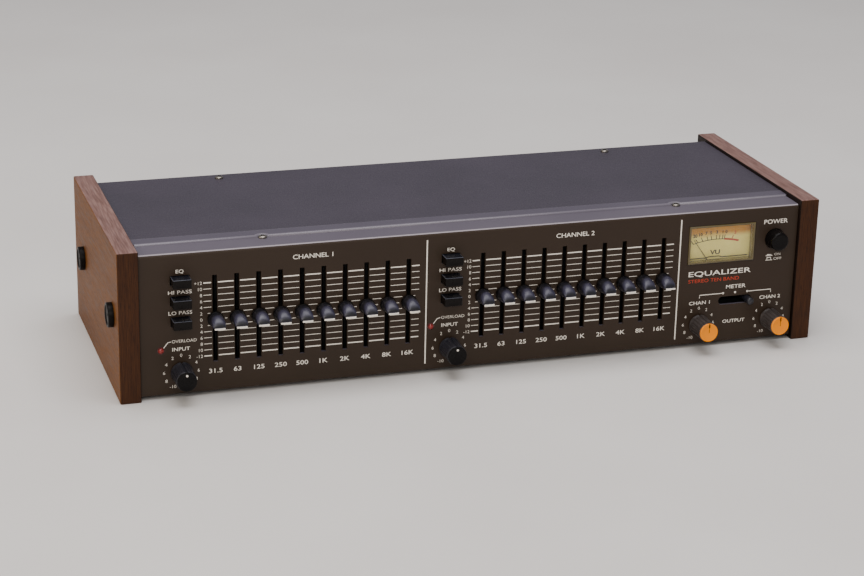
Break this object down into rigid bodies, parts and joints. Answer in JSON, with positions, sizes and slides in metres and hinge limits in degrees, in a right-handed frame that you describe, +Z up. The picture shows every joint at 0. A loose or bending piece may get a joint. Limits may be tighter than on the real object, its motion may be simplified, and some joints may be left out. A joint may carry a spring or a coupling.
{
  "type": "graphic equalizer",
  "caption": "Stereo graphic equalizer: slide controls, rotary level knobs, push buttons and a swinging level meter in a flat case between wooden side panels.",
  "frame": {"origin": "bottom centre of the bounding box, on the surface the unit stands on", "axes": "+Z up, front panel faces -Y, +X to the right of a person who faces the front"},
  "size_m": [0.4898, 0.189, 0.101],
  "materials": {
    "walnut": "oiled, open grain",
    "panel_paint": "satin, fine texture",
    "cover_paint": "satin, fine leather texture",
    "zinc_steel": "zinc plated",
    "slider_plastic": "satin blue-black",
    "black_plastic": "semi gloss",
    "orange_cap": "satin",
    "circuit_board": "solder mask",
    "dial_paper": "matt",
    "clear_cover": "clear plastic",
    "lamp_red": "tinted, glossy",
    "socket_metal": "nickel plated",
    "needle_ink": "matt",
    "white_print": "screen printed",
    "red_print": "screen printed",
    "screw_nickel": "nickel plated"
  },
  "bodies": {
    "case": {"side_panel_left": "walnut", "side_panel_right": "walnut", "front_panel": "panel_paint", "chassis_tray": "zinc_steel", "rear_panel": "zinc_steel", "top_cover": "cover_paint", "slide_pot_board_1": "circuit_board", "slide_pot_board_2": "circuit_board", "control_board_1": "circuit_board", "control_board_2": "circuit_board", "output_board": "circuit_board", "power_switch_body": "circuit_board", "meter_selector_body": "circuit_board", "meter_case": "black_plastic", "meter_dial": "dial_paper", "meter_window": "clear_cover", "overload_lamp_1": "lamp_red", "overload_lamp_2": "lamp_red", "main_board": "circuit_board", "power_transformer": "zinc_steel", "phono_socket_plate": "socket_metal", "cord_gland": "black_plastic", "bolt_cap_left_front": "black_plastic", "bolt_cap_left_rear": "black_plastic", "bolt_cap_right_front": "black_plastic", "bolt_cap_right_rear": "black_plastic"},
    "slider_1_31_5": {"slider_1_31_5": "slider_plastic"},
    "slider_1_63": {"slider_1_63": "slider_plastic"},
    "slider_1_125": {"slider_1_125": "slider_plastic"},
    "slider_1_250": {"slider_1_250": "slider_plastic"},
    "slider_1_500": {"slider_1_500": "slider_plastic"},
    "slider_1_1k": {"slider_1_1k": "slider_plastic"},
    "slider_1_2k": {"slider_1_2k": "slider_plastic"},
    "slider_1_4k": {"slider_1_4k": "slider_plastic"},
    "slider_1_8k": {"slider_1_8k": "slider_plastic"},
    "slider_1_16k": {"slider_1_16k": "slider_plastic"},
    "slider_2_31_5": {"slider_2_31_5": "slider_plastic"},
    "slider_2_63": {"slider_2_63": "slider_plastic"},
    "slider_2_125": {"slider_2_125": "slider_plastic"},
    "slider_2_250": {"slider_2_250": "slider_plastic"},
    "slider_2_500": {"slider_2_500": "slider_plastic"},
    "slider_2_1k": {"slider_2_1k": "slider_plastic"},
    "slider_2_2k": {"slider_2_2k": "slider_plastic"},
    "slider_2_4k": {"slider_2_4k": "slider_plastic"},
    "slider_2_8k": {"slider_2_8k": "slider_plastic"},
    "slider_2_16k": {"slider_2_16k": "slider_plastic"},
    "eq_button_1": {"eq_button_1": "black_plastic"},
    "hi_pass_button_1": {"hi_pass_button_1": "black_plastic"},
    "lo_pass_button_1": {"lo_pass_button_1": "black_plastic"},
    "eq_button_2": {"eq_button_2": "black_plastic"},
    "hi_pass_button_2": {"hi_pass_button_2": "black_plastic"},
    "lo_pass_button_2": {"lo_pass_button_2": "black_plastic"},
    "power_button": {"power_button": "black_plastic"},
    "input_knob_1": {"input_knob_1": "black_plastic"},
    "input_knob_2": {"input_knob_2": "black_plastic"},
    "output_knob_1": {"output_knob_1": "orange_cap"},
    "output_knob_2": {"output_knob_2": "orange_cap"},
    "meter_selector_lever": {"meter_selector_lever": "black_plastic"},
    "meter_needle": {"meter_needle": "needle_ink"}
  },
  "joints": [
    {"name": "power_button_push", "type": "slide", "parent": "case", "child": "power_button", "axis": [0, 1, 0], "range_m": [0, 0.004], "stiffness_N_per_m": 400},
    {"name": "meter_selector_slide", "type": "slide", "parent": "case", "child": "meter_selector_lever", "axis": [1, 0, 0], "range_m": [-0.0182, 0]},
    {"name": "meter_needle_swing", "type": "hinge", "parent": "case", "child": "meter_needle", "pos_m": [0.17135, -0.0708, 0.0504], "axis": [0, 1, 0], "range_deg": [0, 71], "stiffness_Nm_per_rad": 0.00002},
    {"name": "input_knob_1_turn", "type": "hinge", "parent": "case", "child": "input_knob_1", "pos_m": [-0.201, -0.0755, 0.0177], "axis": [0, 1, 0], "range_deg": [-150, 150]},
    {"name": "input_knob_2_turn", "type": "hinge", "parent": "case", "child": "input_knob_2", "pos_m": [-0.0219, -0.0755, 0.0177], "axis": [0, 1, 0], "range_deg": [-150, 150]},
    {"name": "output_knob_1_turn", "type": "hinge", "parent": "case", "child": "output_knob_1", "pos_m": [0.1574, -0.0755, 0.0172], "axis": [0, 1, 0], "range_deg": [-150, 150]},
    {"name": "output_knob_2_turn", "type": "hinge", "parent": "case", "child": "output_knob_2", "pos_m": [0.2104, -0.0755, 0.0172], "axis": [0, 1, 0], "range_deg": [-150, 150]},
    {"name": "eq_button_1_push", "type": "slide", "parent": "case", "child": "eq_button_1", "axis": [0, 1, 0], "range_m": [0, 0.004], "stiffness_N_per_m": 300},
    {"name": "hi_pass_button_1_push", "type": "slide", "parent": "case", "child": "hi_pass_button_1", "axis": [0, 1, 0], "range_m": [0, 0.004], "stiffness_N_per_m": 300},
    {"name": "lo_pass_button_1_push", "type": "slide", "parent": "case", "child": "lo_pass_button_1", "axis": [0, 1, 0], "range_m": [0, 0.004], "stiffness_N_per_m": 300},
    {"name": "eq_button_2_push", "type": "slide", "parent": "case", "child": "eq_button_2", "axis": [0, 1, 0], "range_m": [0, 0.004], "stiffness_N_per_m": 300},
    {"name": "hi_pass_button_2_push", "type": "slide", "parent": "case", "child": "hi_pass_button_2", "axis": [0, 1, 0], "range_m": [0, 0.004], "stiffness_N_per_m": 300},
    {"name": "lo_pass_button_2_push", "type": "slide", "parent": "case", "child": "lo_pass_button_2", "axis": [0, 1, 0], "range_m": [0, 0.004], "stiffness_N_per_m": 300},
    {"name": "slider_1_31_5_slide", "type": "slide", "parent": "case", "child": "slider_1_31_5", "axis": [0, 0, 1], "range_m": [-0.02475, 0.02475]},
    {"name": "slider_1_63_slide", "type": "slide", "parent": "case", "child": "slider_1_63", "axis": [0, 0, 1], "range_m": [-0.02475, 0.02475]},
    {"name": "slider_1_125_slide", "type": "slide", "parent": "case", "child": "slider_1_125", "axis": [0, 0, 1], "range_m": [-0.02475, 0.02475]},
    {"name": "slider_1_250_slide", "type": "slide", "parent": "case", "child": "slider_1_250", "axis": [0, 0, 1], "range_m": [-0.02475, 0.02475]},
    {"name": "slider_1_500_slide", "type": "slide", "parent": "case", "child": "slider_1_500", "axis": [0, 0, 1], "range_m": [-0.02475, 0.02475]},
    {"name": "slider_1_1k_slide", "type": "slide", "parent": "case", "child": "slider_1_1k", "axis": [0, 0, 1], "range_m": [-0.02475, 0.02475]},
    {"name": "slider_1_2k_slide", "type": "slide", "parent": "case", "child": "slider_1_2k", "axis": [0, 0, 1], "range_m": [-0.02475, 0.02475]},
    {"name": "slider_1_4k_slide", "type": "slide", "parent": "case", "child": "slider_1_4k", "axis": [0, 0, 1], "range_m": [-0.02475, 0.02475]},
    {"name": "slider_1_8k_slide", "type": "slide", "parent": "case", "child": "slider_1_8k", "axis": [0, 0, 1], "range_m": [-0.02475, 0.02475]},
    {"name": "slider_1_16k_slide", "type": "slide", "parent": "case", "child": "slider_1_16k", "axis": [0, 0, 1], "range_m": [-0.02475, 0.02475]},
    {"name": "slider_2_31_5_slide", "type": "slide", "parent": "case", "child": "slider_2_31_5", "axis": [0, 0, 1], "range_m": [-0.02475, 0.02475]},
    {"name": "slider_2_63_slide", "type": "slide", "parent": "case", "child": "slider_2_63", "axis": [0, 0, 1], "range_m": [-0.02475, 0.02475]},
    {"name": "slider_2_125_slide", "type": "slide", "parent": "case", "child": "slider_2_125", "axis": [0, 0, 1], "range_m": [-0.02475, 0.02475]},
    {"name": "slider_2_250_slide", "type": "slide", "parent": "case", "child": "slider_2_250", "axis": [0, 0, 1], "range_m": [-0.02475, 0.02475]},
    {"name": "slider_2_500_slide", "type": "slide", "parent": "case", "child": "slider_2_500", "axis": [0, 0, 1], "range_m": [-0.02475, 0.02475]},
    {"name": "slider_2_1k_slide", "type": "slide", "parent": "case", "child": "slider_2_1k", "axis": [0, 0, 1], "range_m": [-0.02475, 0.02475]},
    {"name": "slider_2_2k_slide", "type": "slide", "parent": "case", "child": "slider_2_2k", "axis": [0, 0, 1], "range_m": [-0.02475, 0.02475]},
    {"name": "slider_2_4k_slide", "type": "slide", "parent": "case", "child": "slider_2_4k", "axis": [0, 0, 1], "range_m": [-0.02475, 0.02475]},
    {"name": "slider_2_8k_slide", "type": "slide", "parent": "case", "child": "slider_2_8k", "axis": [0, 0, 1], "range_m": [-0.02475, 0.02475]},
    {"name": "slider_2_16k_slide", "type": "slide", "parent": "case", "child": "slider_2_16k", "axis": [0, 0, 1], "range_m": [-0.02475, 0.02475]}
  ]
}
